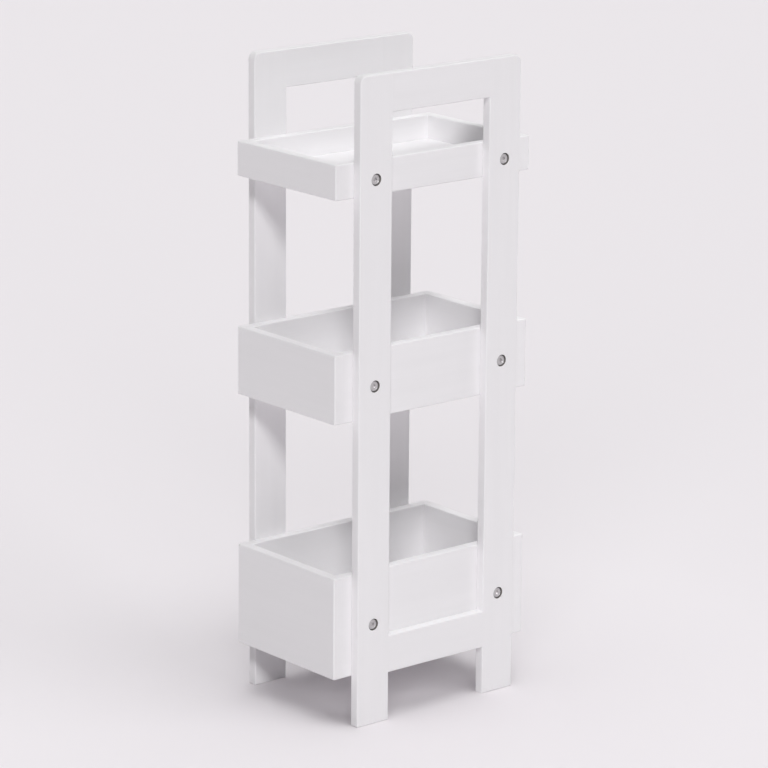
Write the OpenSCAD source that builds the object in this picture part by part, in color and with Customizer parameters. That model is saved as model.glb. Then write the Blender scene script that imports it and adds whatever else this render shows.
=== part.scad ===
// Three-tier shelving unit: two open side frames with three open trays bolted between them.
// Millimetres. X runs from the left frame to the right frame, -Y is the front, Z is up.
// The origin lies on the floor, at the middle of the unit.

/* [Overall] */
// Height of the side frames, from the floor to their top edge
height = 750; // [720:1:900]
// Width of the trays, which is also the clear distance between the side frames
tray_w = 176; // [120:1:300]
// Length of the trays from front to back
tray_l = 284; // [260:1:400]

/* [Side frames] */
// Length of a side frame from front to back
frame_l = 234; // [200:1:260]
// Thickness of the boards of the side frames
frame_t = 12; // [10:0.5:18]
// Width of the four posts
post_w = 46; // [36:1:60]
// Height of the rail that joins the tops of two posts
top_rail_h = 44; // [32:1:60]
// Height of the rail that joins two posts near the floor
bottom_rail_h = 44; // [32:1:50]
// Height of the legs, from the floor to the underside of the bottom rail
leg_h = 57; // [30:1:60]
// Radius of the upper corners of a side frame
corner_r = 8; // [3:0.5:20]
// Radius of the eased edges of all boards
edge_r = 1.5; // [0.5:0.1:2]

/* [Trays] */
// Thickness of the boards round a tray
wall_t = 12; // [10:0.5:15]
// Height of the top tray
top_tray_h = 40; // [36:1:60]
// Height of the middle tray
middle_tray_h = 80; // [50:1:110]
// Height of the bottom tray
bottom_tray_h = 120; // [100:1:150]
// Distance from the top of the side frames down to the rim of the top tray
top_tray_drop = 97; // [70:1:130]
// Underside of the middle tray above the floor
middle_tray_z = 358; // [300:1:420]
// Underside of the bottom tray above the floor
bottom_tray_z = 59; // [50:1:65]

/* [Tray floors] */
// Thickness of the floor panels
panel_t = 6; // [5:0.5:8]
// Thickness of the tongue round a floor panel
tongue_t = 3; // [2:0.1:4]
// Underside of a floor panel above the underside of its tray
panel_lift = 6; // [4:0.5:8]
// Depth of the groove that holds the tongue in the walls
groove_d = 5; // [3:0.5:6]
// Play of a floor panel: of its tongue in the groove, and of its edges beside the walls
panel_play = 0.3; // [0.1:0.05:0.5]

/* [Bolts] */
// Diameter of the bolts that hold the trays
bolt_d = 6; // [4:0.5:6]
// Length of a bolt below its head
bolt_l = 16; // [14:0.5:17]
// Diameter of a bolt head
head_d = 12; // [10:0.5:13]
// Thickness of a bolt head
head_h = 2.5; // [2:0.1:2.8]
// Radius of the rounded rim of a bolt head
head_r = 0.8; // [0.3:0.1:1.2]
// Width across the flats of the hexagon socket in a bolt head
socket_w = 4; // [3:0.5:5]
// Depth of the hexagon socket
socket_depth = 1.8; // [1:0.1:2]
// Diameter of the recess round a bolt head
recess_d = 14; // [13.2:0.1:16]
// Depth of the recess round a bolt head
recess_depth = 4; // [3:0.1:4.5]
// Play round a bolt, on each side
bolt_play = 0.25; // [0.1:0.05:0.4]

/* [Threaded inserts] */
// Outer diameter of the sleeve of an insert
insert_d = 8; // [7.5:0.1:8.5]
// Length of an insert, which lies wholly in the tray wall
insert_l = 9; // [8:0.1:9.2]
// Diameter of the collar of an insert
collar_d = 10; // [9:0.1:12]
// Thickness of the collar of an insert
collar_t = 1; // [0.6:0.1:2]
// Play of a bolt in the bore of an insert, on each side
thread_play = 0.1; // [0.05:0.01:0.2]

/* [Dowels] */
// Diameter of the wooden dowels
dowel_d = 6; // [4:0.5:6]
// Length of the dowels between posts and rails
frame_dowel_l = 30; // [20:1:36]
// Distance between the two dowels of a rail's end
frame_dowel_pitch = 24; // [12:1:26]
// Length of the dowels in the corners of the trays
tray_dowel_l = 25; // [20:1:30]
// Depth that a tray dowel reaches into the front or back board
tray_dowel_bite = 8; // [5:0.5:9]
// Height of tray wall that each corner dowel takes
tray_dowel_step = 30; // [24:1:40]
// Play round a dowel, on each side
dowel_play = 0.1; // [0.05:0.05:0.2]
// Empty depth past each end of a dowel, for glue
glue_gap = 0.5; // [0.2:0.1:1]

/* [Hidden] */

paint = "white";
birch = "burlywood";
steel = "silver";
brass = "gold";

// Cutters reach this far past the faces that they open
past = 1;
$fn = 48;

left = -1;
right = 1;
front = -1;
back = 1;
ends = [front, back];

rail_l = frame_l - 2 * post_w;
window_bottom = leg_h + bottom_rail_h;
window_top = height - top_rail_h;
frame_mid_x = tray_w / 2 + frame_t / 2;
bolt_y = frame_l / 2 - post_w / 2;

top_rail_mid = height - top_rail_h / 2;
bottom_rail_mid = leg_h + bottom_rail_h / 2;
inner_w = tray_w - 2 * wall_t;
inner_l = tray_l - 2 * wall_t;
groove_h = tongue_t + panel_play;

// Height and underside of each tray, from the top one down
top_tray = [top_tray_h, height - top_tray_drop - top_tray_h];
middle_tray = [middle_tray_h, middle_tray_z];
bottom_tray = [bottom_tray_h, bottom_tray_z];
trays = [top_tray, middle_tray, bottom_tray];
function tray_h(tray) = tray[0];
function tray_z(tray) = tray[1];
function bolt_z(tray) = tray_z(tray) + tray_h(tray) / 2;

// Centres of the dowels in one corner of a tray, above its underside
function clear_wall(tray) = tray_h(tray) - panel_lift - panel_t;
function dowel_count(tray) = max(1, floor(clear_wall(tray) / tray_dowel_step));
function dowel_zs(tray) = [
    for (i = [1 : dowel_count(tray)])
        tray_z(tray) + panel_lift + panel_t + clear_wall(tray) * i / (dowel_count(tray) + 1)
];

// A rectangle about the origin with four round corners
module round_rect(w, h, r) {
    square([w - 2 * r, h], center = true);
    square([w, h - 2 * r], center = true);
    for (x = [-1, 1], y = [-1, 1])
        translate([x * (w / 2 - r), y * (h / 2 - r)])
            circle(r);
}

// The section of a slot through a board of thickness t: it flares out at both faces,
// so that the edges that it leaves are rounded to the radius r
module flared_slot_section(w, t, r) {
    square([w, t + 2 * past], center = true);
    for (x = [-1, 1], y = [-1, 1])
        translate([x * w / 2, y * t / 2])
            scale([x, y])
                difference() {
                    translate([-r, -r])
                        square([2 * r, r + past]);
                    translate([r, -r])
                        circle(r);
                }
}

// Turns a shape that was drawn along Z to lie along X, with its Y kept
module along_x() {
    rotate([0, 90, 0])
        children();
}

// Turns a shape that was drawn along Z to lie along Y, with its X kept
module along_y() {
    rotate([90, 0, 0])
        children();
}

// A box about the origin with all its edges rounded
module eased_box(size, r) {
    intersection() {
        linear_extrude(size.z + 2 * past, center = true)
            round_rect(size.x, size.y, r);
        along_y()
            linear_extrude(size.y + 2 * past, center = true)
                round_rect(size.x, size.z, r);
        along_x()
            linear_extrude(size.x + 2 * past, center = true)
                round_rect(size.z, size.y, r);
    }
}

// A rectangular hole along Z through a board size.z thick, about the origin, which rounds
// the edges that it leaves
module eased_hole(size, r) {
    intersection() {
        along_y()
            linear_extrude(size.y + 4 * r, center = true)
                flared_slot_section(size.x, size.z, r);
        along_x()
            linear_extrude(size.x + 4 * r, center = true)
                rotate(90)
                    flared_slot_section(size.y, size.z, r);
    }
}

// The outer form of a side frame, about the middle of its thickness
module frame_blank() {
    intersection() {
        translate([0, 0, height / 2])
            eased_box([frame_t, frame_l, height], edge_r);
        along_x()
            linear_extrude(frame_t + 2 * past, center = true)
                frame_outline();
    }
}

// The outline of a side frame, drawn with its height along -X so that it stands up once turned
module frame_outline() {
    w = frame_l / 2 - corner_r;
    translate([-height + corner_r, -frame_l / 2])
        square([height + past - corner_r, frame_l]);
    translate([-height, -w])
        square([height, 2 * w]);
    for (y = [-w, w])
        translate([-height + corner_r, y])
            circle(corner_r);
}

// The window between the two rails
module window() {
    h = window_top - window_bottom;
    translate([0, 0, window_bottom + h / 2])
        along_x()
            eased_hole([h, rail_l, frame_t], edge_r);
}

// The gap between the two legs, open to the floor
module leg_gap() {
    along_x()
        eased_hole([2 * leg_h, rail_l, frame_t], edge_r);
}

// What rounds the rim of both faces along one upper corner
module corner_ease(end) {
    c = corner_r - edge_r;
    translate([0, end * (frame_l / 2 - corner_r), height - corner_r])
        intersection() {
            along_x()
                rotate_extrude()
                    for (k = [-1, 1])
                        scale([1, k])
                            translate([c, frame_t / 2 - edge_r])
                                difference() {
                                    square(edge_r + past);
                                    circle(edge_r);
                                }
            translate([0, end * corner_r, corner_r])
                cube([frame_t + 4 * past, 2 * corner_r, 2 * corner_r], center = true);
        }
}

// The dowels between the posts and the rails of one side, each larger by play all round
module frame_dowels(side, play = 0, gap = 0) {
    for (end = ends, mid = [top_rail_mid, bottom_rail_mid], k = [-0.5, 0.5])
        translate([side * frame_mid_x, end * rail_l / 2, mid + k * frame_dowel_pitch])
            along_y()
                cylinder(d = dowel_d + 2 * play, h = frame_dowel_l + 2 * gap, center = true);
}

// One bolt's hole and the recess for its head, from the outer face of the frame
module bolt_hole(side, y, z) {
    translate([side * (tray_w / 2 + frame_t), y, z])
        scale([side, 1, 1]) {
            along_x()
                cylinder(d = bolt_d + 2 * bolt_play, h = 3 * frame_t, center = true);
            along_x()
                cylinder(d = recess_d, h = 2 * recess_depth, center = true);
        }
}

// A post: the outer form of a side frame past the rails' ends. Its inner edges are rounded
// only along the window and the leg gap, and stay square where a rail butts against them.
module post(side, end) {
    color(paint)
        difference() {
            translate([side * frame_mid_x, 0, 0])
                difference() {
                    intersection() {
                        frame_blank();
                        translate([0, end * (rail_l / 2 + post_w), height / 2])
                            cube([frame_t + 2 * past, 2 * post_w, height + 2 * past], center = true);
                    }
                    window();
                    leg_gap();
                    corner_ease(end);
                }
            frame_dowels(side, dowel_play, glue_gap);
            for (tray = trays)
                bolt_hole(side, end * bolt_y, bolt_z(tray));
        }
}

// A rail between two posts, about the height mid, with its long edges rounded
module rail(side, mid, h) {
    color(paint)
        difference() {
            translate([side * frame_mid_x, 0, mid])
                along_y()
                    linear_extrude(rail_l, center = true)
                        round_rect(frame_t, h, edge_r);
            frame_dowels(side, dowel_play, glue_gap);
        }
}

// The four walls of a tray before they are cut up into boards, with the groove for its floor
module tray_walls(tray) {
    translate([0, 0, tray_z(tray) + tray_h(tray) / 2])
        difference() {
            eased_box([tray_w, tray_l, tray_h(tray)], edge_r);
            eased_hole([inner_w, inner_l, tray_h(tray)], edge_r);
            translate([0, 0, panel_lift + groove_h / 2 - tray_h(tray) / 2])
                cube([inner_w + 2 * groove_d, inner_l + 2 * groove_d, groove_h], center = true);
        }
}

// The dowels in the corners of a tray, which join its sides to its front and back boards
module tray_dowels(tray, play = 0, gap = 0) {
    for (side = [left, right], end = ends, z = dowel_zs(tray))
        translate([side * (tray_w - wall_t) / 2, end * (inner_l / 2 + tray_dowel_bite - tray_dowel_l / 2), z])
            along_y()
                cylinder(d = dowel_d + 2 * play, h = tray_dowel_l + 2 * gap, center = true);
}

// The front or back board of a tray, which covers the ends of the side boards
module tray_end_board(tray, end) {
    color(paint)
        difference() {
            intersection() {
                tray_walls(tray);
                translate([0, end * (inner_l / 2 + wall_t), bolt_z(tray)])
                    cube([tray_w + 2 * past, 2 * wall_t, tray_h(tray) + 2 * past], center = true);
            }
            tray_dowels(tray, dowel_play, glue_gap);
        }
}

// A side board of a tray, with the blind holes for the inserts
module tray_side_board(tray, side) {
    color(paint)
        difference() {
            intersection() {
                tray_walls(tray);
                translate([side * tray_w / 2, 0, bolt_z(tray)])
                    cube([2 * wall_t, inner_l, tray_h(tray) + 2 * past], center = true);
            }
            tray_dowels(tray, dowel_play, glue_gap);
            for (end = ends)
                translate([side * tray_w / 2, end * bolt_y, bolt_z(tray)])
                    along_x() {
                        cylinder(d = insert_d, h = 2 * insert_l, center = true);
                        cylinder(d = collar_d, h = 2 * collar_t, center = true);
                    }
        }
}

// The floor panel of a tray. Its tongue lies in the groove of the four walls, and its
// thicker middle fills the tray from wall to wall.
module tray_floor(tray) {
    reach = 2 * (groove_d - panel_play);
    color(paint)
        translate([0, 0, tray_z(tray) + panel_lift]) {
            translate([0, 0, tongue_t / 2])
                cube([inner_w + reach, inner_l + reach, tongue_t], center = true);
            translate([0, 0, panel_t / 2])
                cube([inner_w - 2 * panel_play, inner_l - 2 * panel_play, panel_t], center = true);
        }
}

// A bolt along Z with its head's top at the origin and its shank below
module bolt() {
    difference() {
        union() {
            rotate_extrude()
                head_section();
            translate([0, 0, -head_h - bolt_l])
                cylinder(d = bolt_d, h = bolt_l + head_h / 2);
        }
        translate([0, 0, -socket_depth])
            cylinder(d = socket_w / cos(30), h = socket_depth + past, $fn = 6);
    }
}

// Half the section of a bolt head, with a round rim
module head_section() {
    translate([0, -head_h])
        square([head_d / 2, head_h - head_r]);
    translate([0, -head_h])
        square([head_d / 2 - head_r, head_h]);
    translate([head_d / 2 - head_r, -head_r])
        circle(head_r);
}

// A threaded insert along Z with its collar's top at the origin
module insert() {
    difference() {
        union() {
            translate([0, 0, -collar_t])
                cylinder(d = collar_d, h = collar_t);
            translate([0, 0, -insert_l])
                cylinder(d = insert_d, h = insert_l);
        }
        translate([0, 0, -insert_l - past])
            cylinder(d = bolt_d + 2 * thread_play, h = insert_l + 2 * past);
    }
}

// Puts a piece at each bolt of one side, its axis along X and its top towards the outside
module at_bolts(side, x) {
    for (tray = trays, end = ends)
        translate([side * x, end * bolt_y, bolt_z(tray)])
            rotate([0, side * 90, 0])
                children();
}

module bolts(side) {
    color(steel)
        at_bolts(side, tray_w / 2 + frame_t - recess_depth + head_h)
            bolt();
}

module inserts(side) {
    color(brass)
        at_bolts(side, tray_w / 2)
            insert();
}

post(left, front);  // left_front_post
post(left, back);  // left_back_post
rail(left, top_rail_mid, top_rail_h);  // left_top_rail
rail(left, bottom_rail_mid, bottom_rail_h);  // left_bottom_rail
post(right, front);  // right_front_post
post(right, back);  // right_back_post
rail(right, top_rail_mid, top_rail_h);  // right_top_rail
rail(right, bottom_rail_mid, bottom_rail_h);  // right_bottom_rail
tray_end_board(top_tray, front);  // top_tray_front
tray_end_board(top_tray, back);  // top_tray_back
tray_side_board(top_tray, left);  // top_tray_left
tray_side_board(top_tray, right);  // top_tray_right
tray_floor(top_tray);  // top_tray_floor
tray_end_board(middle_tray, front);  // middle_tray_front
tray_end_board(middle_tray, back);  // middle_tray_back
tray_side_board(middle_tray, left);  // middle_tray_left
tray_side_board(middle_tray, right);  // middle_tray_right
tray_floor(middle_tray);  // middle_tray_floor
tray_end_board(bottom_tray, front);  // bottom_tray_front
tray_end_board(bottom_tray, back);  // bottom_tray_back
tray_side_board(bottom_tray, left);  // bottom_tray_left
tray_side_board(bottom_tray, right);  // bottom_tray_right
tray_floor(bottom_tray);  // bottom_tray_floor
bolts(left);  // left_bolts
bolts(right);  // right_bolts
inserts(left);  // left_inserts
inserts(right);  // right_inserts
color(birch) frame_dowels(left);  // left_frame_dowels
color(birch) frame_dowels(right);  // right_frame_dowels
color(birch) tray_dowels(top_tray);  // top_tray_dowels
color(birch) tray_dowels(middle_tray);  // middle_tray_dowels
color(birch) tray_dowels(bottom_tray);  // bottom_tray_dowels
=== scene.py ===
import logging
import math
import random
from collections import defaultdict
from collections.abc import Callable
from dataclasses import dataclass, field
from enum import Enum

import bpy
from mathutils import Matrix, Vector

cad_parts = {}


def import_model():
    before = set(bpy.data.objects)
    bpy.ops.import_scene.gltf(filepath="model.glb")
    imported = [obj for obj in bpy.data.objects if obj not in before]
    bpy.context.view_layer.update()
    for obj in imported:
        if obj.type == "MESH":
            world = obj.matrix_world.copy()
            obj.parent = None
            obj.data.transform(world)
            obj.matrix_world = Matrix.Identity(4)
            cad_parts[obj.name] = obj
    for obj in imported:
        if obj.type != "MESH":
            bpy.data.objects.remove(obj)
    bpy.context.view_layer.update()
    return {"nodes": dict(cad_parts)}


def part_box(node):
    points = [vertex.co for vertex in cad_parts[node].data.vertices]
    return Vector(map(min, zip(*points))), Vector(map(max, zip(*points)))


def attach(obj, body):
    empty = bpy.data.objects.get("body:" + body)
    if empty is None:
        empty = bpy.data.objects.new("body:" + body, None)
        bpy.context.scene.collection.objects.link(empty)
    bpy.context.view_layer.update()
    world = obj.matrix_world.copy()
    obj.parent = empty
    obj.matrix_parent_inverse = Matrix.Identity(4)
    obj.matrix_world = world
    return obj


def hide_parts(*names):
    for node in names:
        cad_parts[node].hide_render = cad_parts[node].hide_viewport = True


# The looks of a white three-tier shelving unit. Metres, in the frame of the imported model:
# X runs from the left side frame to the right one, -Y is the front and the floor is Z = 0.

LOG = logging.getLogger("shelving_unit")
MM = 0.001
BODY = "root"

# Points of a mesh that are nearer than this are one point
SAME_POINT = 0.001 * MM
# Decimal places of a metre to which solids of one row agree
ROW_PLACES = 4

Colour = tuple[float, float, float]
# A lowest and a highest value
Span = tuple[float, float]
# A radius that is the same all round, or a function that gives it at an angle
Radius = float | Callable[[float], float]


class Grain(Enum):
    """The axis that a board's grain and brush marks run along."""

    ALONG_X = 0
    ALONG_Y = 1
    ALONG_Z = 2


class Side(Enum):
    """One of the two side frames. The value is the sign of its X."""

    LEFT = -1
    RIGHT = 1

    @property
    def word(self) -> str:
        """The side's name, as the nodes' names have it."""
        return self.name.lower()


class Tier(Enum):
    """One of the three trays. The value is its name, as the nodes' names have it."""

    TOP = "top"
    MIDDLE = "middle"
    BOTTOM = "bottom"


class Shader:
    """The node tree of one material, with short calls that add and link its nodes."""

    # How far the pattern of one piece may lie from that of another, in metres
    PIECE_SHIFT = (3.1, 5.3, 4.7)

    def __init__(self, name: str) -> None:
        """Starts a material that holds one principled surface.

        Args:
            name: The material's name.
        """
        self.material = bpy.data.materials.new(name)
        self.material.use_nodes = True
        self.tree = self.material.node_tree
        self.surface = self.tree.nodes["Principled BSDF"]

    def node(self, kind: str, inputs: dict | None = None, **settings: object) -> bpy.types.Node:
        """Adds a node.

        Args:
            kind: The node's type, without the words ShaderNode.
            inputs: A value or a socket for each input, by the input's name or number.
            **settings: The node's own settings.

        Returns:
            The new node.
        """
        made = self.tree.nodes.new("ShaderNode" + kind)
        for key, value in settings.items():
            setattr(made, key, value)
        self.feed(made, inputs or {})
        return made

    def feed(self, node: bpy.types.Node, inputs: dict) -> None:
        """Sets or links inputs of a node.

        Args:
            node: The node that is fed.
            inputs: A value or a socket for each input, by the input's name or number.
        """
        for key, value in inputs.items():
            if isinstance(value, bpy.types.NodeSocket):
                self.tree.links.new(value, node.inputs[key])
            else:
                node.inputs[key].default_value = value

    def math(self, operation: str, *values: object) -> bpy.types.NodeSocket:
        """Adds a math node.

        Args:
            operation: The sum that it does, such as MULTIPLY.
            *values: Its numbers or sockets, in order.

        Returns:
            The socket of the result.
        """
        return self.node("Math", dict(enumerate(values)), operation=operation).outputs[0]

    def remap(self, value: bpy.types.NodeSocket, source: Span, target: Span) -> bpy.types.NodeSocket:
        """Maps one span smoothly to another, and holds the ends.

        Args:
            value: The socket that is mapped.
            source: The values that become the ends of the target.
            target: The results at the two ends of the source.

        Returns:
            The socket of the result.
        """
        inputs = {"Value": value, "From Min": source[0], "From Max": source[1],
                  "To Min": target[0], "To Max": target[1]}
        return self.node("MapRange", inputs, interpolation_type="SMOOTHSTEP").outputs["Result"]

    def place(self) -> bpy.types.NodeSocket:
        """Adds the point in the model's frame, shifted by a share of its own for each piece.

        Returns:
            The socket of the shifted point.
        """
        own_share = self.node("ObjectInfo").outputs["Random"]
        shift = self.node("VectorMath", {0: own_share, 1: self.PIECE_SHIFT}, operation="MULTIPLY")
        point = self.node("TexCoord").outputs["Object"]
        return self.node("VectorMath", {0: point, 1: shift.outputs[0]}, operation="ADD").outputs[0]

    def noise(self, point: bpy.types.NodeSocket, across: float, along: float, grain: Grain,
              detail: float = 2.0, roughness: float = 0.5) -> bpy.types.NodeSocket:
        """Adds noise that is drawn out along the grain.

        Args:
            point: The socket of the point.
            across: The noise's size across the grain, in metres.
            along: Its size along the grain, in metres.
            grain: The way that the grain runs.
            detail: How many finer layers it has.
            roughness: How strong the finer layers are.

        Returns:
            The socket of the noise, from 0 to 1.
        """
        scale = [1 / across] * 3
        scale[grain.value] = 1 / along
        drawn = self.node("VectorMath", {0: point, 1: scale}, operation="MULTIPLY").outputs[0]
        inputs = {"Vector": drawn, "Scale": 1.0, "Detail": detail, "Roughness": roughness}
        return self.node("TexNoise", inputs).outputs["Fac"]

    def tint(self, factor: bpy.types.NodeSocket, low: Colour | bpy.types.NodeSocket,
             high: Colour | bpy.types.NodeSocket) -> bpy.types.NodeSocket:
        """Mixes two colours.

        Args:
            factor: The socket of the share of the second colour.
            low: The colour at 0, or its socket.
            high: The colour at 1, or its socket.

        Returns:
            The socket of the colour.
        """
        ends = [(*end, 1.0) if isinstance(end, tuple) else end for end in (low, high)]
        return self.node("Mix", {0: factor, 6: ends[0], 7: ends[1]}, data_type="RGBA").outputs[2]

    def shades(self, factor: bpy.types.NodeSocket, colour: Colour, tones: Span) -> bpy.types.NodeSocket:
        """Varies a colour from a darker to a lighter tone.

        Args:
            factor: The socket of the share of the lighter tone.
            colour: The colour.
            tones: What its channels are multiplied by, in the darker and in the lighter tone.

        Returns:
            The socket of the colour.
        """
        darker, lighter = (tuple(channel * tone for channel in colour) for tone in tones)
        return self.tint(factor, darker, lighter)

    def blend(self, factor: bpy.types.NodeSocket, low: object, high: object) -> bpy.types.NodeSocket:
        """Mixes two numbers.

        Args:
            factor: The socket of the share of the second number.
            low: The number at 0, or its socket.
            high: The number at 1, or its socket.

        Returns:
            The socket of the number.
        """
        return self.node("Mix", {0: factor, 2: low, 3: high}).outputs[0]

    def relief(self, height: bpy.types.NodeSocket) -> None:
        """Bumps the surface.

        Args:
            height: The socket of the height, in metres.
        """
        bump = self.node("Bump", {"Height": height, "Distance": 1.0, "Strength": 1.0})
        self.feed(self.surface, {"Normal": bump.outputs["Normal"]})


@dataclass(frozen=True)
class Recesses:
    """The bores that hold the bolt heads, which lie alike on all four posts.

    The radius is a head's bore, the face is how far the posts' outer faces are from the middle
    of the unit, and the along and the heights are where the bores' axes are.
    """

    radius: float
    face: float
    along: float
    heights: tuple[float, ...]


@dataclass(frozen=True)
class SatinPaint:
    """White satin paint that is brushed over wood, so that the grain shows as faint ridges.

    The tones are what the colour is multiplied by where it is darkest and lightest. A source is
    the span of the noise that becomes the ends of the tones or of the roughness. In each finish
    a pitch or a size lies across the grain and a run lies along it.
    """

    slot: str
    colour: Colour = (0.893, 0.882, 0.896)
    tones: Span = (0.985, 1.012)
    tone_source: Span = (0.2, 0.8)
    roughness: Span = (0.53, 0.64)
    roughness_source: Span = (0.25, 0.75)
    refraction: float = 1.48
    ridge_pitch: float = 1.6 * MM
    ridge_run: float = 130 * MM
    ridge_height: float = 0.05 * MM
    ridge_share: float = 0.35
    ridge_layers: float = 3.0
    ridge_sharpness: float = 0.6
    stipple_size: float = 1.1 * MM
    stipple_height: float = 0.006 * MM
    coat_size: float = 14 * MM
    coat_run: float = 240 * MM
    coat_share: float = 0.65
    seam_width: float = 0.45 * MM
    seam_depth: float = 0.08 * MM
    seam_shade: float = 2.2
    # Painted shade in the bolt bores: their walls are drawn dull and dark grey, the tone of the shade
    # that falls in them
    bare_wood: Colour = (0.24, 0.225, 0.215)
    bare_roughness: float = 0.85
    bare_margin: float = 0.05 * MM
    bare_fade: float = 0.15 * MM
    paint_reach: float = 0.6 * MM
    paint_drip: float = 1.5 * MM

    def material(self, grain: Grain, seam: float | None = None,
                 recesses: Recesses | None = None) -> bpy.types.Material:
        """Makes the paint for boards of one grain.

        Args:
            grain: The way that the boards' grain runs.
            seam: Where a board's ends butt against others, measured along the grain from the
                middle of the unit, or None where its ends are free.
            recesses: The bores, whose walls get painted shade, or None where there are none.

        Returns:
            The material.
        """
        words = [self.slot, grain.name.lower()] + ([] if seam is None else ["butted"])
        shader = Shader("_".join(words))
        point = shader.place()
        ridges = shader.noise(point, self.ridge_pitch, self.ridge_run, grain,
                              self.ridge_layers, self.ridge_sharpness)
        stipple = shader.noise(point, self.stipple_size, self.stipple_size, grain, 1.0)
        coats = shader.noise(point, self.coat_size, self.coat_run, grain)
        height = shader.math("MULTIPLY", ridges, self.ridge_height)
        height = shader.math("MULTIPLY_ADD", stipple, self.stipple_height, height)
        shade = shader.math("MULTIPLY", coats, self.coat_share)
        shade = shader.math("MULTIPLY_ADD", ridges, self.ridge_share, shade)
        if seam is not None:
            gap = self.seam_mask(shader, grain, seam)
            height = shader.math("MULTIPLY_ADD", gap, -self.seam_depth, height)
            shade = shader.math("MULTIPLY_ADD", gap, -self.seam_shade, shade)
        tone = shader.remap(shade, self.tone_source, (0.0, 1.0))
        colour = shader.shades(tone, self.colour, self.tones)
        roughness = shader.remap(coats, self.roughness_source, self.roughness)
        # Painted shade: the bore walls are darkened to the tone of the shade in them
        if recesses is not None:
            shade_in_bore = self.bare_mask(shader, recesses)
            colour = shader.tint(shade_in_bore, colour, self.bare_wood)
            roughness = shader.blend(shade_in_bore, roughness, self.bare_roughness)
        coated = {"Base Color": colour, "Roughness": roughness, "IOR": self.refraction}
        shader.feed(shader.surface, coated)
        shader.relief(height)
        return shader.material

    def seam_mask(self, shader: Shader, grain: Grain, seam: float) -> bpy.types.NodeSocket:
        """Marks the line where a board butts against its neighbour.

        Args:
            shader: The shader that gets the nodes.
            grain: The way that the board's grain runs.
            seam: The distance of the line from the middle of the unit, along the grain.

        Returns:
            The socket of the mark: 1 on the line and 0 beside it.
        """
        parts = shader.node("SeparateXYZ", {0: shader.node("TexCoord").outputs["Object"]})
        out = shader.math("ABSOLUTE", parts.outputs[grain.value])
        off = shader.math("ABSOLUTE", shader.math("SUBTRACT", out, seam))
        return shader.remap(off, (0.0, self.seam_width), (1.0, 0.0))

    def bare_mask(self, shader: Shader, recesses: Recesses) -> bpy.types.NodeSocket:
        """Marks the painted shade in the bores: their walls, from a little way below the face and with
        a wavy upper edge, are drawn dark as shade.

        Args:
            shader: The shader that gets the nodes.
            recesses: The bores.

        Returns:
            The socket of the mark: 1 where shade is painted and 0 on the plain paint.
        """
        point = shader.node("TexCoord").outputs["Object"]
        parts = shader.node("SeparateXYZ", {0: point}).outputs
        along = shader.math("SUBTRACT", shader.math("ABSOLUTE", parts[1]), recesses.along)
        up = shader.math("SUBTRACT", parts[2], recesses.heights[0])
        for height in recesses.heights[1:]:
            other = shader.math("SUBTRACT", parts[2], height)
            up = shader.math("MINIMUM", shader.math("ABSOLUTE", up), shader.math("ABSOLUTE", other))
        squares = shader.math("MULTIPLY_ADD", along, along, shader.math("MULTIPLY", up, up))
        out = shader.math("SQRT", squares)
        edge = recesses.radius + self.bare_margin
        near = shader.remap(out, (edge, edge + self.bare_fade), (1.0, 0.0))
        edge_wobble = shader.noise(point, self.paint_drip, self.paint_drip, Grain.ALONG_X, 1.0)
        depth = shader.math("SUBTRACT", recesses.face, shader.math("ABSOLUTE", parts[0]))
        depth = shader.math("MULTIPLY_ADD", edge_wobble, -self.paint_reach, depth)
        deep = shader.remap(depth, (0.0, self.paint_reach / 2), (0.0, 1.0))
        return shader.math("MULTIPLY", near, deep)


@dataclass(frozen=True)
class ZincSteel:
    """Zinc-plated steel with the fine rings that turning leaves on a head."""

    slot: str = "bolt_steel"
    colour: Colour = (0.56, 0.55, 0.555)
    tones: Span = (0.82, 1.1)
    roughness: Span = (0.27, 0.44)
    roughness_source: Span = (0.3, 0.7)
    ring_pitch: float = 0.22 * MM
    ring_height: float = 0.004 * MM
    cloud_size: float = 2.4 * MM
    cloud_layers: float = 3.0

    def material(self) -> bpy.types.Material:
        """Makes the material.

        Returns:
            The material.
        """
        shader = Shader(self.slot)
        radius = shader.node("Attribute", attribute_name=TurnedBody.RADIUS).outputs["Fac"]
        rings = shader.math("SINE", shader.math("MULTIPLY", radius, math.tau / self.ring_pitch))
        point = shader.place()
        clouds = shader.noise(point, self.cloud_size, self.cloud_size, Grain.ALONG_X, self.cloud_layers)
        colour = shader.shades(clouds, self.colour, self.tones)
        roughness = shader.remap(clouds, self.roughness_source, self.roughness)
        shader.feed(shader.surface, {"Base Color": colour, "Metallic": 1.0, "Roughness": roughness})
        shader.relief(shader.math("MULTIPLY", rings, self.ring_height))
        return shader.material


@dataclass(frozen=True)
class TurnedBrass:
    """Bare brass, slightly dulled."""

    slot: str = "insert_brass"
    colour: Colour = (0.72, 0.56, 0.28)
    tones: Span = (0.7, 1.08)
    roughness: Span = (0.26, 0.44)
    roughness_source: Span = (0.3, 0.7)
    cloud_size: float = 1.8 * MM
    cloud_layers: float = 3.0
    scratch_width: float = 0.09 * MM
    scratch_run: float = 1.8 * MM
    scratch_height: float = 0.003 * MM

    def material(self) -> bpy.types.Material:
        """Makes the material.

        Returns:
            The material.
        """
        shader = Shader(self.slot)
        point = shader.place()
        clouds = shader.noise(point, self.cloud_size, self.cloud_size, Grain.ALONG_X, self.cloud_layers)
        scratches = shader.noise(point, self.scratch_width, self.scratch_run, Grain.ALONG_X, 1.0)
        colour = shader.shades(clouds, self.colour, self.tones)
        roughness = shader.remap(clouds, self.roughness_source, self.roughness)
        shader.feed(shader.surface, {"Base Color": colour, "Metallic": 1.0, "Roughness": roughness})
        shader.relief(shader.math("MULTIPLY", scratches, self.scratch_height))
        return shader.material


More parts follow.
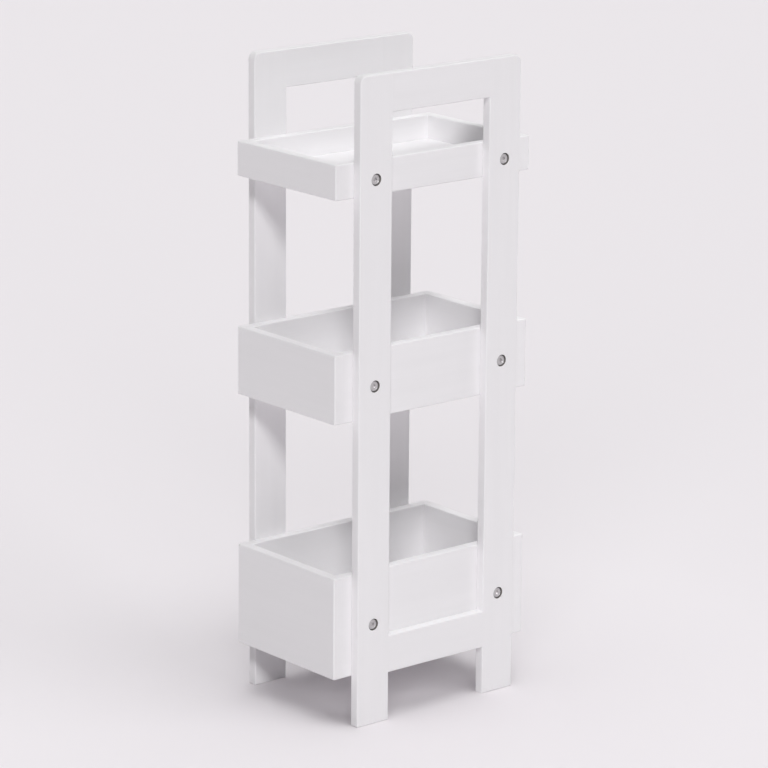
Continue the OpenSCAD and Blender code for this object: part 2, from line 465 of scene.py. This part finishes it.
@dataclass(frozen=True)
class RawBeech:
    """Unfinished beech, with the short dark flecks of that wood."""

    slot: str = "dowel_beech"
    colour: Colour = (0.66, 0.47, 0.30)
    tones: Span = (0.7, 1.15)
    roughness: float = 0.7
    grain_pitch: float = 0.5 * MM
    grain_run: float = 18 * MM
    grain_layers: float = 3.0
    fleck_width: float = 0.25 * MM
    fleck_run: float = 2.2 * MM
    fleck_source: Span = (0.66, 0.74)
    fleck_shade: float = 0.7
    relief_height: float = 0.02 * MM

    def material(self) -> bpy.types.Material:
        """Makes the material.

        Returns:
            The material.
        """
        shader = Shader(self.slot)
        point = shader.place()
        grain = shader.noise(point, self.grain_pitch, self.grain_run, Grain.ALONG_Y, self.grain_layers)
        flecks = shader.noise(point, self.fleck_width, self.fleck_run, Grain.ALONG_Y, 0.0)
        dark = shader.remap(flecks, self.fleck_source, (0.0, self.fleck_shade))
        tone = shader.math("SUBTRACT", grain, dark)
        colour = shader.shades(tone, self.colour, self.tones)
        shader.feed(shader.surface, {"Base Color": colour, "Roughness": self.roughness})
        shader.relief(shader.math("MULTIPLY", tone, self.relief_height))
        return shader.material


@dataclass(frozen=True)
class Spot:
    """The box round one solid of a node."""

    low: Vector
    high: Vector

    @classmethod
    def around(cls, points: list[Vector]) -> "Spot":
        """Makes the box round some points."""
        low, high = (Vector(map(end, zip(*points, strict=True))) for end in (min, max))
        return cls(low, high)

    @property
    def centre(self) -> Vector:
        """The middle of the box."""
        return (self.low + self.high) / 2

    @property
    def size(self) -> Vector:
        """The lengths of the box along X, Y and Z."""
        return self.high - self.low

    @property
    def row(self) -> tuple[float, float, float]:
        """What sorts boxes from low to high, then from front to back and then from left to right."""
        return round(self.centre.z, ROW_PLACES), round(self.centre.y, ROW_PLACES), self.centre.x


def spots(node: bpy.types.Object) -> list[Spot]:
    """Finds the separate solids of a node.

    Args:
        node: The node's object.

    Returns:
        One box for each solid, from the lowest to the highest.
    """
    vertices = node.data.vertices
    keys = [tuple(round(length / SAME_POINT) for length in vertex.co) for vertex in vertices]
    leader = {key: key for key in keys}

    def last_leader(key: tuple) -> tuple:
        """Follows the leaders from a point to the last one."""
        while leader[key] != key:
            leader[key] = leader[leader[key]]
            key = leader[key]
        return key

    for start, end in (edge.vertices for edge in node.data.edges):
        leader[last_leader(keys[start])] = last_leader(keys[end])
    groups = defaultdict(list)
    for key, vertex in zip(keys, vertices, strict=True):
        groups[last_leader(key)].append(vertex.co)
    return sorted((Spot.around(points) for points in groups.values()), key=lambda spot: spot.row)


def find_recesses(nodes: dict[str, bpy.types.Object]) -> Recesses:
    """Finds the bores that hold the bolt heads.

    Their radius is measured on a post, from a bolt's axis to the nearest points at its outer face.

    Args:
        nodes: The objects of all nodes.

    Returns:
        The bores.
    """
    rim_depth = 1 * MM
    found = spots(nodes["right_bolts"])
    along = max(spot.centre.y for spot in found)
    heights = tuple(sorted({round(spot.centre.z, ROW_PLACES) for spot in found}))
    points = [vertex.co for vertex in nodes["right_front_post"].data.vertices]
    face = max(point.x for point in points)
    axis = Vector((-along, heights[0]))
    radius = min((point.yz - axis).length for point in points if point.x > face - rim_depth)
    return Recesses(radius, face, along, heights)


class TurnedBody:
    """A closed body built ring by ring along its own Z, and copied to several places."""

    # The mesh attribute that gives a point's distance from the axis
    RADIUS = "from_axis"
    # Edges that turn by more degrees than this are shaded as sharp
    SHARP_TURN = 38.0

    def __init__(self, segments: int) -> None:
        """Starts an empty body.

        Args:
            segments: The number of points in each ring.
        """
        self.angles = [math.tau * step / segments for step in range(segments)]
        self.rings: list[list[Vector]] = []

    def ring(self, radius: Radius, height: float) -> None:
        """Adds a ring.

        Args:
            radius: Its radius, or a function that gives the radius at an angle.
            height: Its place along Z.
        """
        points = []
        for angle in self.angles:
            out = radius(angle) if callable(radius) else radius
            points.append(Vector((out * math.cos(angle), out * math.sin(angle), height)))
        self.rings.append(points)

    def thread(self, crest: float, depth: float, pitch: float, low: float, high: float,
               steps: int = 4) -> None:
        """Adds the rings of a screw thread, which fades out over a turn at both ends.

        Args:
            crest: The radius at the crest.
            depth: The depth from the crest to the root, negative for a thread in a bore.
            pitch: The distance from crest to crest.
            low: Where the thread starts along Z.
            high: Where it ends.
            steps: The number of rings in each turn.
        """
        count = max(2, round(abs(high - low) / pitch * steps))
        for step in range(count + 1):
            height = low + (high - low) * step / count
            fade = min(1.0, abs(height - low) / pitch, abs(height - high) / pitch)

            def radius(angle: float, height: float = height, fade: float = fade) -> float:
                """The thread's radius at an angle."""
                wave = 0.5 - 0.5 * math.cos(math.tau * height / pitch - angle)
                return crest - depth * fade * wave

            self.ring(radius, height)

    def faces(self, capped: bool) -> list[tuple[int, ...]]:
        """Joins the rings.

        Args:
            capped: Whether the first and last rings are closed, or joined with each other.

        Returns:
            The faces, as numbers of points.
        """
        around = len(self.angles)
        rings = len(self.rings)
        made = []
        for ring in range(rings - 1 if capped else rings):
            low = ring * around
            high = (ring + 1) % rings * around
            for here in range(around):
                after = (here + 1) % around
                made.append((low + here, low + after, high + after, high + here))
        if capped:
            made.append(tuple(reversed(range(around))))
            made.append(tuple(range((rings - 1) * around, rings * around)))
        return made

    def build(self, name: str, places: list[Matrix], capped: bool = True) -> bpy.types.Object:
        """Makes one piece with a copy of the body at each place.

        Args:
            name: The piece's name.
            places: Where the copies go.
            capped: Whether the first and last rings are closed, or joined with each other.

        Returns:
            The piece.
        """
        points = [point for ring in self.rings for point in ring]
        faces = self.faces(capped)
        placed = [place @ point for place in places for point in points]
        joined = []
        for start in range(0, len(placed), len(points)):
            joined += [tuple(start + corner for corner in face) for face in faces]
        mesh = bpy.data.meshes.new(name)
        mesh.from_pydata(placed, [], joined)
        radii = mesh.attributes.new(self.RADIUS, "FLOAT", "POINT")
        radii.data.foreach_set("value", [point.xy.length for _ in places for point in points])
        mesh.validate()
        mesh.shade_smooth()
        mesh.set_sharp_from_angle(angle=math.radians(self.SHARP_TURN))
        piece = bpy.data.objects.new(name, mesh)
        bpy.context.scene.collection.objects.link(piece)
        return piece


def finish_piece(piece: bpy.types.Object, material: bpy.types.Material,
                 node: str) -> None:
    """Dresses a piece, puts it on the body and lets it stand for its node.

    Args:
        piece: The piece.
        material: Its material.
        node: The name of the node that it stands for.
    """
    piece.data.materials.append(material)
    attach(piece, BODY)
    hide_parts(node)
    LOG.info("%s stands for %s: %d faces", piece.name, node, len(piece.data.polygons))


def paint_board(node: bpy.types.Object, material: bpy.types.Material) -> None:
    """Dresses a board, whose shape is the node's own.

    Args:
        node: The node's object.
        material: Its material.
    """
    node.data.materials.clear()
    node.data.materials.append(material)
    LOG.info("%s painted with %s", node.name, material.name)


@dataclass
class Dowels:
    """Fluted beech dowels, each with bevelled ends."""

    node: str
    flutes: int = 12
    flute_depth: float = 0.22 * MM
    end_bevel: float = 0.7 * MM
    segments: int = 48

    def build(self, nodes: dict[str, bpy.types.Object]) -> bpy.types.Object:
        """Builds the dowels of one node.

        Args:
            nodes: The objects of all nodes.

        Returns:
            The piece that holds the dowels.
        """
        found = spots(nodes[self.node])
        radius, half = found[0].size.z / 2, found[0].size.y / 2
        body = TurnedBody(self.segments)

        def fluted(angle: float) -> float:
            """The dowel's radius at an angle."""
            return radius - self.flute_depth * max(0.0, math.cos(self.flutes * angle)) ** 2

        body.ring(radius - self.end_bevel, -half)
        body.ring(radius - self.flute_depth, self.end_bevel / 2 - half)
        body.ring(fluted, self.end_bevel - half)
        body.ring(fluted, half - self.end_bevel)
        body.ring(radius - self.flute_depth, half - self.end_bevel / 2)
        body.ring(radius - self.end_bevel, half)
        turn = Matrix.Rotation(math.pi / 2, 4, "X")
        places = [Matrix.Translation(spot.centre) @ turn for spot in found]
        return body.build(self.node + "_fluted", places)

    def dress(self, nodes: dict[str, bpy.types.Object], beech: bpy.types.Material) -> None:
        """Builds and dresses the dowels.

        Args:
            nodes: The objects of all nodes.
            beech: The material of raw beech.
        """
        finish_piece(self.build(nodes), beech, self.node)


@dataclass
class Fasteners:
    """What the bolts and the inserts of one side frame share."""

    side: Side
    thread_pitch: float = 1 * MM
    segments: int = 48

    def places(self, found: list[Spot], draw: random.Random | None = None) -> list[Matrix]:
        """Gives each fastener's place, its top at the outer end of its box and facing out.

        Args:
            found: The boxes of the fasteners.
            draw: What draws how far each is turned in, or None for no turn.

        Returns:
            The places.
        """
        outward = Matrix.Rotation(self.side.value * math.pi / 2, 4, "Y")
        made = []
        for spot in found:
            outer = spot.high.x if self.side is Side.RIGHT else spot.low.x
            spin = Matrix.Rotation(draw.uniform(0, math.tau) if draw else 0.0, 4, "Z")
            made.append(Matrix.Translation((outer, spot.centre.y, spot.centre.z)) @ outward @ spin)
        return made


@dataclass
class Bolts(Fasteners):
    """The six bolts of one side frame, each with a dished head and a hexagon socket."""

    head_height: float = 2.5 * MM
    head_bevel: float = 0.2 * MM
    rim_radius: float = 0.8 * MM
    rim_steps: int = 5
    dish_radius: float = 4.3 * MM
    dish_depth: float = 0.12 * MM
    socket_width: float = 4 * MM
    socket_depth: float = 1.8 * MM
    socket_mouth: float = 0.28 * MM
    socket_ledge: float = 0.05 * MM
    cone_depth: float = 0.35 * MM
    cone_tip: float = 0.2 * MM
    shank_radius: float = 3 * MM
    plain_length: float = 4 * MM
    thread_depth: float = 0.5 * MM
    tip_bevel: float = 0.5 * MM
    tip_length: float = 1.2 * MM
    seed: int = 7

    @property
    def node(self) -> str:
        """The node that the bolts stand for."""
        return f"{self.side.word}_bolts"

    def socket_radius(self, angle: float) -> float:
        """The radius of the hexagon socket's wall at an angle."""
        sixth = math.pi / 3
        return self.socket_width / 2 / math.cos((angle + sixth / 2) % sixth - sixth / 2)

    def add_shank(self, body: TurnedBody, length: float) -> None:
        """Adds the shank, from its tip to the underside of the head.

        Args:
            body: The body that gets the rings.
            length: The length of the whole bolt.
        """
        root = self.shank_radius - self.thread_depth
        body.ring(root - self.tip_bevel, -length)
        body.ring(root, self.tip_bevel - length)
        neck = -self.head_height - self.plain_length
        start = self.tip_length - length
        body.thread(self.shank_radius, self.thread_depth, self.thread_pitch, start, neck)
        body.ring(self.shank_radius, -self.head_height)

    def add_head(self, body: TurnedBody, radius: float) -> None:
        """Adds the head, from its underside over the rim to the edge of the socket.

        Args:
            body: The body that gets the rings.
            radius: The radius of the head.
        """
        body.ring(radius - self.head_bevel, -self.head_height)
        body.ring(radius, self.head_bevel - self.head_height)
        for step in range(self.rim_steps + 1):
            angle = math.pi / 2 * step / self.rim_steps
            inset = self.rim_radius * (1 - math.cos(angle))
            body.ring(radius - inset, self.rim_radius * (math.sin(angle) - 1))
        body.ring(self.dish_radius + self.dish_depth, 0.0)
        body.ring(self.dish_radius, -self.dish_depth)

    def add_socket(self, body: TurnedBody) -> None:
        """Adds the socket, from its bevelled mouth to the tip of the cone in its bottom.

        Args:
            body: The body that gets the rings.
        """
        corner = self.socket_width / 2 / math.cos(math.pi / 6)
        body.ring(corner + self.socket_mouth, -self.dish_depth)
        body.ring(self.socket_radius, -self.dish_depth - self.socket_mouth)
        body.ring(self.socket_radius, -self.socket_depth)
        body.ring(self.socket_width / 2 - self.socket_ledge, -self.socket_depth)
        body.ring(self.cone_tip, -self.socket_depth - self.cone_depth)

    def build(self, nodes: dict[str, bpy.types.Object]) -> bpy.types.Object:
        """Builds the bolts.

        Args:
            nodes: The objects of all nodes.

        Returns:
            The piece that holds the bolts.
        """
        found = spots(nodes[self.node])
        body = TurnedBody(self.segments)
        self.add_shank(body, found[0].size.x)
        self.add_head(body, found[0].size.z / 2)
        self.add_socket(body)
        draw = random.Random(self.seed + self.side.value)
        return body.build(f"{self.side.word}_socket_bolts", self.places(found, draw))

    def dress(self, nodes: dict[str, bpy.types.Object], steel: bpy.types.Material) -> None:
        """Builds and dresses the bolts.

        Args:
            nodes: The objects of all nodes.
            steel: The material of the bolts.
        """
        finish_piece(self.build(nodes), steel, self.node)


@dataclass
class Inserts(Fasteners):
    """The sleeves that the bolts of one side turn into, with a thread outside and one inside.

    The outer thread starts a little way from the sleeve's inner end, and ends at a neck under
    the collar.
    """

    collar_height: float = 1 * MM
    collar_bevel: float = 0.15 * MM
    sleeve_radius: float = 3.99 * MM
    sleeve_root: float = 3.5 * MM
    sleeve_pitch: float = 2.2 * MM
    sleeve_thread: float = 0.5 * MM
    sleeve_start: float = 0.4 * MM
    sleeve_neck: float = 0.1 * MM
    sleeve_steps: int = 6
    bore_radius: float = 3.1 * MM
    bore_thread: float = 0.3 * MM
    bore_mouth: float = 0.3 * MM
    bore_bevel: float = 0.2 * MM

    @property
    def node(self) -> str:
        """The node that the inserts stand for."""
        return f"{self.side.word}_inserts"

    def build(self, nodes: dict[str, bpy.types.Object]) -> bpy.types.Object:
        """Builds the inserts, out along the sleeve, over the collar and back through the bore.

        Args:
            nodes: The objects of all nodes.

        Returns:
            The piece that holds the inserts.
        """
        found = spots(nodes[self.node])
        collar_radius, length = found[0].size.z / 2, found[0].size.x
        body = TurnedBody(self.segments)
        body.ring(self.bore_radius + self.bore_bevel, -length)
        body.ring(self.sleeve_root, -length)
        body.thread(self.sleeve_radius, self.sleeve_thread, self.sleeve_pitch,
                    self.sleeve_start - length, -self.collar_height - self.sleeve_neck,
                    self.sleeve_steps)
        body.ring(self.sleeve_radius, -self.collar_height)
        body.ring(collar_radius - self.collar_bevel, -self.collar_height)
        body.ring(collar_radius, self.collar_bevel - self.collar_height)
        body.ring(collar_radius, -self.collar_bevel)
        body.ring(collar_radius - self.collar_bevel, 0.0)
        body.ring(self.bore_radius + self.bore_mouth, 0.0)
        body.thread(self.bore_radius, -self.bore_thread, self.thread_pitch,
                    -self.bore_mouth, self.bore_mouth - length)
        name = f"{self.side.word}_threaded_inserts"
        return body.build(name, self.places(found), capped=False)

    def dress(self, nodes: dict[str, bpy.types.Object], brass: bpy.types.Material) -> None:
        """Builds and dresses the inserts.

        Args:
            nodes: The objects of all nodes.
            brass: The material of the inserts.
        """
        finish_piece(self.build(nodes), brass, self.node)


@dataclass
class SideFrame:
    """Two posts and two rails, whose shapes are the nodes' own."""

    side: Side
    paint: SatinPaint = field(default_factory=lambda: SatinPaint("frame_paint"))
    posts: tuple[str, ...] = ("front_post", "back_post")
    rails: tuple[str, ...] = ("top_rail", "bottom_rail")

    def dress(self, nodes: dict[str, bpy.types.Object], post_paint: bpy.types.Material,
              rail_paint: bpy.types.Material) -> None:
        """Paints the boards.

        Args:
            nodes: The objects of all nodes.
            post_paint: The paint of upright boards.
            rail_paint: The paint of boards that butt between the posts.
        """
        for words, material in ((self.posts, post_paint), (self.rails, rail_paint)):
            for word in words:
                paint_board(nodes[f"{self.side.word}_{word}"], material)


@dataclass
class Tray:
    """Four walls and a floor panel, whose shapes are the nodes' own."""

    tier: Tier
    paint: SatinPaint = field(default_factory=lambda: SatinPaint("tray_paint"))
    end_boards: tuple[str, ...] = ("front", "back")
    side_boards: tuple[str, ...] = ("left", "right")

    def dress(self, nodes: dict[str, bpy.types.Object], end_paint: bpy.types.Material,
              side_paint: bpy.types.Material, floor_paint: bpy.types.Material) -> None:
        """Paints the boards.

        Args:
            nodes: The objects of all nodes.
            end_paint: The paint of the front and back boards.
            side_paint: The paint of the side boards, which butt between them.
            floor_paint: The paint of the floor panel.
        """
        name = f"{self.tier.value}_tray_"
        for word in self.end_boards:
            paint_board(nodes[name + word], end_paint)
        for word in self.side_boards:
            paint_board(nodes[name + word], side_paint)
        paint_board(nodes[name + "floor"], floor_paint)


class Lit(Enum):
    """What a lamp lights."""

    UNIT = "unit"
    FLOOR = "floor"


def towards(azimuth: float, elevation: float) -> Vector:
    """Gives the direction from the unit to a lamp or to the camera.

    Args:
        azimuth: The turn from the front towards the right, in degrees.
        elevation: The rise above the floor, in degrees.

    Returns:
        The direction, one metre long.
    """
    turn, rise = math.radians(azimuth), math.radians(elevation)
    level = Vector((math.sin(turn), -math.cos(turn), 0.0)) * math.cos(rise)
    return level + Vector((0.0, 0.0, math.sin(rise)))


@dataclass(frozen=True)
class Lamp:
    """A soft lamp, far enough away to light everything alike.

    At a strength of 1 a white surface that faces it renders as white. The azimuth and the
    elevation say where it hangs and the spread how wide it is, all in degrees. The distance
    changes nothing about its light.
    """

    name: str
    lit: Lit
    strength: float
    azimuth: float
    elevation: float
    spread: float
    distance: float = 3.0

    def place(self, receivers: bpy.types.Collection) -> None:
        """Hangs the lamp.

        Args:
            receivers: The collection that says what the lamp lights.
        """
        data = bpy.data.lights.new(self.name, "SUN")
        data.energy = self.strength * math.pi
        data.angle = math.radians(self.spread)
        lamp = bpy.data.objects.new(self.name, data)
        out = towards(self.azimuth, self.elevation)
        lamp.rotation_mode = "QUATERNION"
        lamp.rotation_quaternion = (-out).to_track_quat("-Z", "Y")
        lamp.location = out * self.distance
        lamp.light_linking.receiver_collection = receivers
        bpy.context.scene.collection.objects.link(lamp)


@dataclass
class Studio:
    """A pale floor without an end, soft lamps and a pale backdrop."""

    floor_size: float = 120.0
    floor_colour: Colour = (0.80, 0.77, 0.795)
    backdrop: Colour = (0.823, 0.791, 0.815)
    lamps: tuple[Lamp, ...] = (
        Lamp("key", Lit.UNIT, 0.51, 50.0, 40.0, 12.0),
        Lamp("right", Lit.UNIT, 0.13, 80.0, 50.0, 20.0),
        Lamp("behind", Lit.UNIT, 0.37, 180.0, 30.0, 60.0),
        Lamp("left", Lit.UNIT, 0.23, 260.0, 10.0, 40.0),
        Lamp("above", Lit.UNIT, 0.18, 0.0, 90.0, 60.0),
        Lamp("floor_top", Lit.FLOOR, 0.725, 0.0, 90.0, 60.0),
        Lamp("floor_side", Lit.FLOOR, 0.42, 110.0, 20.0, 60.0),
        Lamp("floor_front", Lit.FLOOR, 0.48, 50.0, 20.0, 40.0),
    )

    def build_floor(self) -> bpy.types.Object:
        """Lays the floor. It is clear from below, so that the unit's underside can be seen.

        Returns:
            The floor.
        """
        shader = Shader("studio_floor")
        flat = {"Base Color": (*self.floor_colour, 1.0), "Roughness": 1.0, "Specular IOR Level": 0.0}
        shader.feed(shader.surface, flat)
        path = shader.node("LightPath").outputs["Is Camera Ray"]
        below = shader.math("MULTIPLY", path, shader.node("NewGeometry").outputs["Backfacing"])
        clear = shader.node("BsdfTransparent")
        surface = shader.surface.outputs[0]
        mix = shader.node("MixShader", {0: below, 1: surface, 2: clear.outputs[0]})
        shader.feed(shader.tree.nodes["Material Output"], {"Surface": mix.outputs[0]})
        half = self.floor_size / 2
        corners = [(-half, -half, 0), (half, -half, 0), (half, half, 0), (-half, half, 0)]
        mesh = bpy.data.meshes.new("studio_floor")
        mesh.from_pydata(corners, [], [(0, 1, 2, 3)])
        mesh.materials.append(shader.material)
        floor = bpy.data.objects.new("studio_floor", mesh)
        bpy.context.scene.collection.objects.link(floor)
        return floor

    def receivers(self, floor: bpy.types.Object, lit: Lit) -> bpy.types.Collection:
        """Makes the collection that keeps lamps off the floor, or on it alone.

        Args:
            floor: The floor.
            lit: What the lamps light.

        Returns:
            The collection.
        """
        group = bpy.data.collections.new(f"{lit.value}_lamps_light")
        group.objects.link(floor)
        state = "INCLUDE" if lit is Lit.FLOOR else "EXCLUDE"
        group.collection_objects[0].light_linking.link_state = state
        return group

    def build_backdrop(self) -> None:
        """Makes the pale surroundings, which the camera and mirrors see and which give no light."""
        world = bpy.data.worlds.new("studio_backdrop")
        world.use_nodes = True
        tree = world.node_tree
        path = tree.nodes.new("ShaderNodeLightPath")
        seen = path.outputs["Is Camera Ray"]
        for ray in ("Is Glossy Ray", "Is Transmission Ray"):
            either = tree.nodes.new("ShaderNodeMath")
            either.operation = "MAXIMUM"
            tree.links.new(seen, either.inputs[0])
            tree.links.new(path.outputs[ray], either.inputs[1])
            seen = either.outputs[0]
        backdrop = tree.nodes["Background"]
        backdrop.inputs["Color"].default_value = (*self.backdrop, 1.0)
        tree.links.new(seen, backdrop.inputs["Strength"])
        bpy.context.scene.world = world

    def build(self) -> None:
        """Builds the floor, the backdrop and the lamps."""
        floor = self.build_floor()
        self.build_backdrop()
        groups = {lit: self.receivers(floor, lit) for lit in Lit}
        for lamp in self.lamps:
            lamp.place(groups[lamp.lit])
            LOG.info("lamp %s placed", lamp.name)


@dataclass
class PhotoCamera:
    """The camera, at the photograph's viewing angle.

    The angles are in degrees, the lens and the sensor in millimetres and the rest in metres.
    It aims at a height on the unit's own axis, and a little to the right of it.
    """

    azimuth: float = 50.08
    elevation: float = 14.83
    roll: float = 0.43
    distance: float = 4.456
    aim_height: float = 0.3648
    aim_aside: float = 0.002
    lens: float = 181.5
    sensor: float = 36.0
    farthest: float = 200.0

    def place(self) -> None:
        """Puts the camera up and makes it the scene's own."""
        back = towards(self.azimuth, self.elevation)
        aside = towards(self.azimuth + 90.0, 0.0)
        data = bpy.data.cameras.new("camera")
        data.lens = self.lens
        data.sensor_width = self.sensor
        data.clip_end = self.farthest
        camera = bpy.data.objects.new("camera", data)
        aim = Vector((0.0, 0.0, self.aim_height)) + aside * self.aim_aside
        camera.location = aim + back * self.distance
        level = (-back).to_track_quat("-Z", "Y").to_matrix()
        tilt = Matrix.Rotation(math.radians(self.roll), 3, "Z")
        camera.rotation_mode = "QUATERNION"
        camera.rotation_quaternion = (level @ tilt).to_quaternion()
        bpy.context.scene.collection.objects.link(camera)
        bpy.context.scene.camera = camera


def main() -> None:
    """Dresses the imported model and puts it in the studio."""
    logging.basicConfig(level=logging.INFO, format="%(name)s: %(message)s")
    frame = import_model()
    nodes = frame["nodes"]

    frame_paint, tray_paint = SatinPaint("frame_paint"), SatinPaint("tray_paint")
    rail_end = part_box("right_top_rail")[1].y
    wall_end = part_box("top_tray_right")[1].y
    post_paint = frame_paint.material(Grain.ALONG_Z, recesses=find_recesses(nodes))
    rail_paint = frame_paint.material(Grain.ALONG_Y, rail_end)
    end_paint = tray_paint.material(Grain.ALONG_X)
    side_paint = tray_paint.material(Grain.ALONG_Y, wall_end)
    floor_paint = tray_paint.material(Grain.ALONG_Y)
    steel, brass, beech = ZincSteel().material(), TurnedBrass().material(), RawBeech().material()

    for side in Side:
        SideFrame(side, frame_paint).dress(nodes, post_paint, rail_paint)
        Dowels(f"{side.word}_frame_dowels").dress(nodes, beech)
        Bolts(side).dress(nodes, steel)
        Inserts(side).dress(nodes, brass)
    for tier in Tier:
        Tray(tier, tray_paint).dress(nodes, end_paint, side_paint, floor_paint)
        Dowels(f"{tier.value}_tray_dowels").dress(nodes, beech)

    Studio().build()
    PhotoCamera().place()
    bpy.context.scene.view_settings.view_transform = "Standard"
    bpy.context.view_layer.update()


if __name__ == "__main__":
    main()
